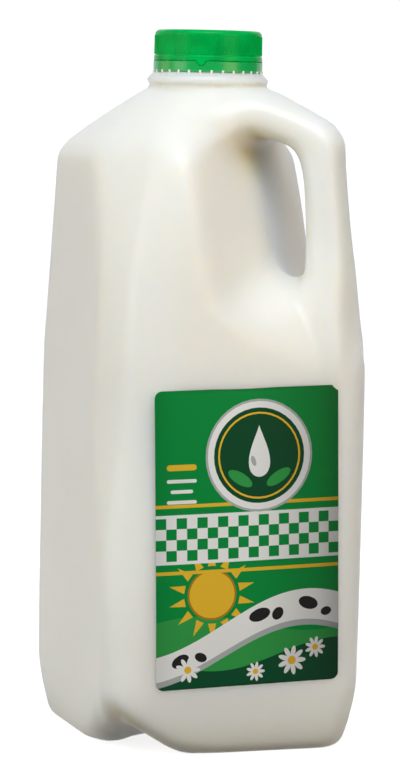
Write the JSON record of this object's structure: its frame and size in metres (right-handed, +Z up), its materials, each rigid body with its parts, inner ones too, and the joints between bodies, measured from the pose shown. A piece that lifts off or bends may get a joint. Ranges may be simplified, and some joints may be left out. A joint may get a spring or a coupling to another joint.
{
  "type": "plastic milk jug",
  "caption": "Half-gallon blow-moulded milk jug with a corner handle, finger hole, flat facets, screw cap, tamper band and a front label; shut and full.",
  "frame": {"origin": "on the ground, under the axis of the neck and in the middle of the jug's box", "axes": "+Z up through the cap, +X in the mould's parting plane towards the handle, Y across the parting plane; the label's face looks to +X and -Y"},
  "size_m": [0.1316, 0.1316, 0.2643],
  "materials": {
    "bottle_plastic": "satin, slightly translucent, warm white from the milk behind it",
    "cap_plastic": "smooth moulded green",
    "label_film": "glossy printed film, mostly green"
  },
  "bodies": {
    "root": {"jug": "bottle_plastic", "cap": "cap_plastic", "tamper_band": "cap_plastic", "front_label": "label_film"}
  },
  "joints": []
}
